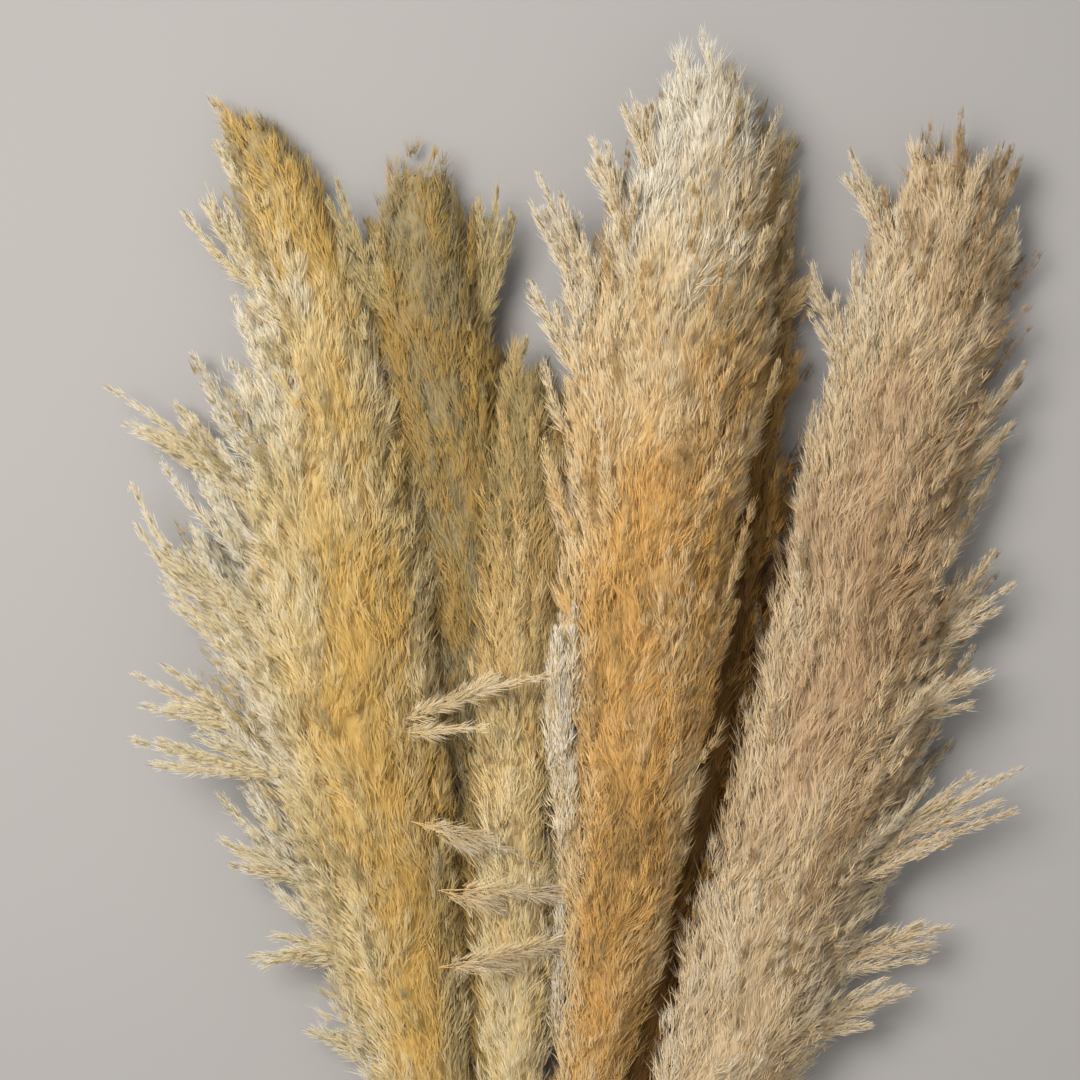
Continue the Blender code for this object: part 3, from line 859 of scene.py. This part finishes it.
side_branches("left", left_silk, 111, (0.26, 0.12), [f"left_branch_{n}" for n in range(1, 10)])
side_branches("olive", olive_silk, 123, (0.30, 0.1))
side_branches("tall", tall_silk, 141, (0.24, 0.1), [f"tall_branch_{n}" for n in range(1, 5)])
side_branches(
    "crossing", tall_silk, 171, (0.28, 0.08), ["left_branch_10", "short_branch_1", "tall_branch_5", "tall_branch_6"],
    "left", per_length=900, number=2, longer=0.014, hair=0.0105, spread=(34, 5),
)
side_branches("behind", behind_silk_with_painted_shade, 153, (0.30, 0.1))
side_branches("right", right_silk, 167, (0.26, 0.1))

# ----------
# The stems: dry canes, smooth and finely ribbed, with a joint every hand's breadth and a cut end that shows
# the pith.
# ----------

CANE_STEPS = 150
CANE_SIDES = 16


def cane(node, seed):
    """A stem's rings. Its middle line and radius are those of the solid's sections along Y. The radius swells by
    a narrow hill at each joint, just above a slight step, and the two end rings close in to the pith. Returns
    rings, their heights on the stem, and the joints'."""
    rng = np.random.default_rng(seed)
    low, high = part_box(node)
    low, high = cuts(node, LENGTHWISE, np.linspace(low[1] + 0.0012, high[1] - 0.0006, 40))
    middle, radius = (low + high) / 2, (high[:, 2] - low[:, 2]) / 2
    share = np.linspace(0, 1, CANE_STEPS)
    line = on_run(middle, share)
    size = on_run(radius, share) * 0.97
    joints = np.cumsum(rng.uniform(0.10, 0.15, 4)) + rng.uniform(-0.02, 0.03)
    run = (share * np.linalg.norm(middle[-1] - middle[0]))[:, None]
    swell = (0.10 * bump(run, joints, 0.0024) - 0.05 * bump(run, joints - 0.0045, 0.0016)).sum(1)
    size = np.concatenate([size[:1] * 0.02, size[:1] * 0.72, size * (1 + swell), size[-1:] * 0.3])
    step = np.clip(np.arange(CANE_STEPS + 3) - 2, 0, CANE_STEPS - 1)  # two more rings at the foot, one at the top
    paths, along = line[step], unit(np.gradient(line, axis=0))[step]
    paths[:2, 1] += 0.0012, 0.0002
    rib = 1 + 0.012 * np.cos(9 * (2 * math.pi * np.arange(CANE_SIDES) / CANE_SIDES) + seed)
    rings = rings_round(paths, along, size[:, None] * rib)
    rings[..., 2] = np.maximum(rings[..., 2], LOWEST)
    return rings, np.concatenate([[0.0, 0.01], 0.03 + 0.96 * share, [1.0]]), 0.03 + 0.96 * joints / run[-1, 0]


def noise(tree, place, scale, detail):
    """A noise pattern, read at a place."""
    pattern = tree.nodes.new("ShaderNodeTexNoise")
    pattern.inputs["Scale"].default_value = scale
    pattern.inputs["Detail"].default_value = detail
    tree.links.new(place, pattern.inputs["Vector"])
    return pattern.outputs["Fac"]


def two_tone(tree, pattern, low, dark, high, pale):
    """A pattern's colour: dark up to its low value, pale from its high one, and blended between."""
    ramp = tree.nodes.new("ShaderNodeValToRGB")
    for stop, position, colour in zip(ramp.color_ramp.elements, (low, high), (dark, pale)):
        stop.position, stop.color = position, (*colour, 1)
    tree.links.new(pattern, ramp.inputs["Fac"])
    return ramp.outputs["Color"]


def relief(tree, shader, pattern, strength, distance):
    """A pattern as slight heights and hollows."""
    bumps = tree.nodes.new("ShaderNodeBump")
    bumps.inputs["Strength"].default_value = strength
    bumps.inputs["Distance"].default_value = distance
    tree.links.new(pattern, bumps.inputs["Height"])
    tree.links.new(bumps.outputs["Normal"], shader.inputs["Normal"])


def cane_material():
    """Dry cane: straw to greenish brown in patches, fine ribs along its length, darker at the joints and pale in the
    cut. The ribs are drawn out along Y, which the stems nearly follow."""
    material, tree, shader = new_material("dry_cane")
    place = tree.nodes.new("ShaderNodeTexCoord").outputs["Object"]
    stretch = tree.nodes.new("ShaderNodeMapping")
    stretch.inputs["Scale"].default_value = (1, 0.03, 1)
    tree.links.new(place, stretch.inputs["Vector"])
    ribs = noise(tree, stretch.outputs[0], 1600, 2)
    tone = two_tone(tree, noise(tree, place, 26, 4), 0.34, (0.34, 0.27, 0.11), 0.68, (0.66, 0.54, 0.29))
    streak = tree.nodes.new("ShaderNodeMapRange")
    for socket, value in (("From Min", 0.3), ("From Max", 0.7), ("To Min", 0.72), ("To Max", 1.1)):
        streak.inputs[socket].default_value = value
    tree.links.new(ribs, streak.inputs["Value"])
    tone = mix(tree, 1.0, tone, streak.outputs["Result"], "MULTIPLY")
    marks = tree.nodes.new("ShaderNodeVertexColor")
    marks.layer_name = "joint"
    parts = tree.nodes.new("ShaderNodeSeparateColor")
    tree.links.new(marks.outputs["Color"], parts.inputs[0])
    tone = mix(tree, parts.outputs["Red"], tone, (0.20, 0.13, 0.06, 1))
    tone = mix(tree, parts.outputs["Green"], tone, (0.78, 0.70, 0.50, 1))
    tree.links.new(tone, shader.inputs["Base Color"])
    relief(tree, shader, ribs, 0.35, 0.0004)
    shader.inputs["Roughness"].default_value = 0.45
    return material


dry_cane = cane_material()
for seed, name in enumerate(["left", "olive", "tall", "right", "short", "behind"], 1):
    rings, height, joints = cane(f"{name}_stem", seed)
    soup = Soup()
    soup.tubes(rings[None], np.array([0.5]), height)
    mesh = soup.mesh(f"{name}_cane", toned=False)
    along = np.repeat(height, CANE_SIDES)[:, None]
    shade = np.zeros((len(along), 4))
    shade[:, 0] = np.clip(bump(along, joints - 0.004, 0.004).sum(1), 0, 1) * 0.75  # the joints
    shade[:, 1] = np.repeat(np.arange(len(height)) < 2, CANE_SIDES)  # the cut
    shade[:, 3] = 1
    layer = mesh.color_attributes.new("joint", "FLOAT_COLOR", "POINT")
    layer.data.foreach_set("color", shade.astype(np.float32).ravel())
    put(mesh, dry_cane, [f"{name}_stem"])

# ----------
# The twine: three-ply jute, wound six times round the stems where they come together, and knotted on top with
# its ends tucked in. It holds the bundle.
# ----------

TWINE_R = 0.0011
TWINE_TURNS = 6


def ply_rings(path, lay=0.0065, sides=18):
    """Three-ply twine along a path. Its section is a circle with three lobes, and the lobes turn once round
    the path in each lay length."""
    along = unit(np.gradient(path, axis=0))
    gone = np.concatenate([[0], np.cumsum(np.linalg.norm(np.diff(path, axis=0), axis=1))])
    turns = 2 * math.pi * np.arange(sides) / sides
    lobes = TWINE_R * (0.84 + 0.16 * np.abs(np.cos(1.5 * (turns - 2 * math.pi * gone[:, None] / lay))) ** 0.7)
    lobes[[0, -1]] *= 0.55
    return rings_round(path, along, lobes, above=(0.0, 1.0, 0.21))


def fibres(soup, path, rng, number, reach=0.0032):
    """Loose fibres: short needles that start in the twine and stand off it at a slant."""
    pick = rng.uniform(0.01, 0.97, number)
    base = on_run(path, pick)
    along = unit(on_run(path, pick + 0.01) - base)
    off = unit(np.cross(along, rng.normal(0, 1, (number, 3))))
    seat = base + off * TWINE_R * 0.8
    tip = seat + unit(off * 0.6 + along * rng.choice([-1, 1], (number, 1))) * reach * rng.uniform(0.4, 1.1, (number, 1))
    soup.needles(seat, tip, np.full(number, 0.00013), off, np.full(number, 0.5), own=0.8)


def jute_material():
    """Jute: brown fibres that run slanting round the twine, matt, with paler and darker strands."""
    material, tree, shader = new_material("jute")
    strands = noise(tree, tree.nodes.new("ShaderNodeTexCoord").outputs["Object"], 1900, 3)
    tone = two_tone(tree, strands, 0.3, (0.20, 0.125, 0.055), 0.7, (0.56, 0.41, 0.22))
    tree.links.new(tone, shader.inputs["Base Color"])
    relief(tree, shader, strands, 0.5, 0.0003)
    shader.inputs["Roughness"].default_value = 0.9
    return material


jute = jute_material()
rng = np.random.default_rng(5)


def twine(name, path, number, node):
    """One length of twine along a path, with its loose fibres."""
    soup = Soup()
    soup.tubes(ply_rings(path)[None], np.array([0.5]), np.linspace(0, 1, len(path)))
    fibres(soup, path, rng, number)
    put(soup.mesh(name, toned=False), jute, [node])


low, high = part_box("twine_binding")
middle = (np.array(low) + np.array(high)) / 2
ring_r = (high[0] - low[0]) / 2 - TWINE_R
turn = np.linspace(0, 2 * math.pi * TWINE_TURNS, 90 * TWINE_TURNS)
along = np.linspace(low[1] + TWINE_R, high[1] - TWINE_R, len(turn))
coil_r = ring_r + 0.00015 * np.sin(turn * 2.3)
winding = np.stack([middle[0] + coil_r * np.sin(turn), along, middle[2] + coil_r * np.cos(turn)], -1)
ends = np.clip(np.minimum(np.arange(len(turn)), np.arange(len(turn))[::-1]) / 40, 0, 1)
tucked = (0.88 + 0.12 * ends)[:, None]
winding[:, [0, 2]] = middle[[0, 2]] + (winding[:, [0, 2]] - middle[[0, 2]]) * tucked
twine("wound_twine", winding, 420, "twine_binding")

low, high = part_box("twine_knot")
middle, half = (np.array(low) + np.array(high)) / 2, (np.array(high) - np.array(low)) / 2 - TWINE_R * 0.9
t = np.linspace(0, 2 * math.pi, 181)
trefoil = np.stack([np.sin(t) + 2 * np.sin(2 * t), np.cos(t) - 2 * np.cos(2 * t), -np.sin(3 * t)], -1)
knot = middle + trefoil / np.abs(trefoil).max(0) * half - np.array([0, 0, 0.0006])
twine("knotted_twine", knot, 110, "twine_knot")

# ----------
# The floor is one plain pale sheet of matt paint. The light is soft: a large lamp up and to the left, a weak
# one overhead and an even sky. The camera looks straight down on the heads.
# ----------

floor_mesh = bpy.data.meshes.new("floor")
floor_mesh.from_pydata([(-3, -3, 0), (3, -3, 0), (3, 3, 0), (-3, 3, 0)], [], [(0, 1, 2, 3)])
floor = bpy.data.objects.new("floor", floor_mesh)
bpy.context.scene.collection.objects.link(floor)
floor_paint, _, paint = new_material("floor_paint")
paint.inputs["Base Color"].default_value = (0.24, 0.233, 0.228, 1)
paint.inputs["Roughness"].default_value = 0.9
floor_mesh.materials.append(floor_paint)


def soft_light(name, place, aim, size, power, spread, colour):
    """A round lamp at a place, turned so that its face looks at its aim."""
    lamp = bpy.data.lights.new(name, "AREA")
    lamp.shape = "DISK"
    lamp.size = size
    lamp.energy = power
    lamp.spread = math.radians(spread)
    lamp.color = colour
    light = bpy.data.objects.new(name, lamp)
    light.location = place
    direction = np.array(aim) - np.array(place)
    yaw = math.atan2(direction[1], direction[0]) - math.pi / 2
    pitch = math.atan2(math.hypot(direction[0], direction[1]), -direction[2])
    light.rotation_euler = (pitch, 0, yaw)
    bpy.context.scene.collection.objects.link(light)


soft_light("key", (-0.66, 0.66, 1.45), (-0.04, 0.32, 0.0), 0.9, 16, 110, (1.0, 0.965, 0.92))
soft_light("fill", (0.2, -0.4, 2.0), (0.0, 0.2, 0.0), 1.8, 4, 180, (1.0, 0.98, 0.95))

world = bpy.data.worlds.new("studio")
world.use_nodes = True
world.node_tree.nodes["Background"].inputs["Color"].default_value = (1.0, 0.98, 0.95, 1)
world.node_tree.nodes["Background"].inputs["Strength"].default_value = 0.66
bpy.context.scene.world = world
bpy.context.scene.view_settings.view_transform = "Standard"

lens = bpy.data.cameras.new("camera")
lens.lens = 100
lens.sensor_width = 36
lens.clip_start = 0.05
camera = bpy.data.objects.new("camera", lens)
camera.location = (-0.013, 0.301, 1.54)
bpy.context.scene.collection.objects.link(camera)
bpy.context.scene.camera = camera
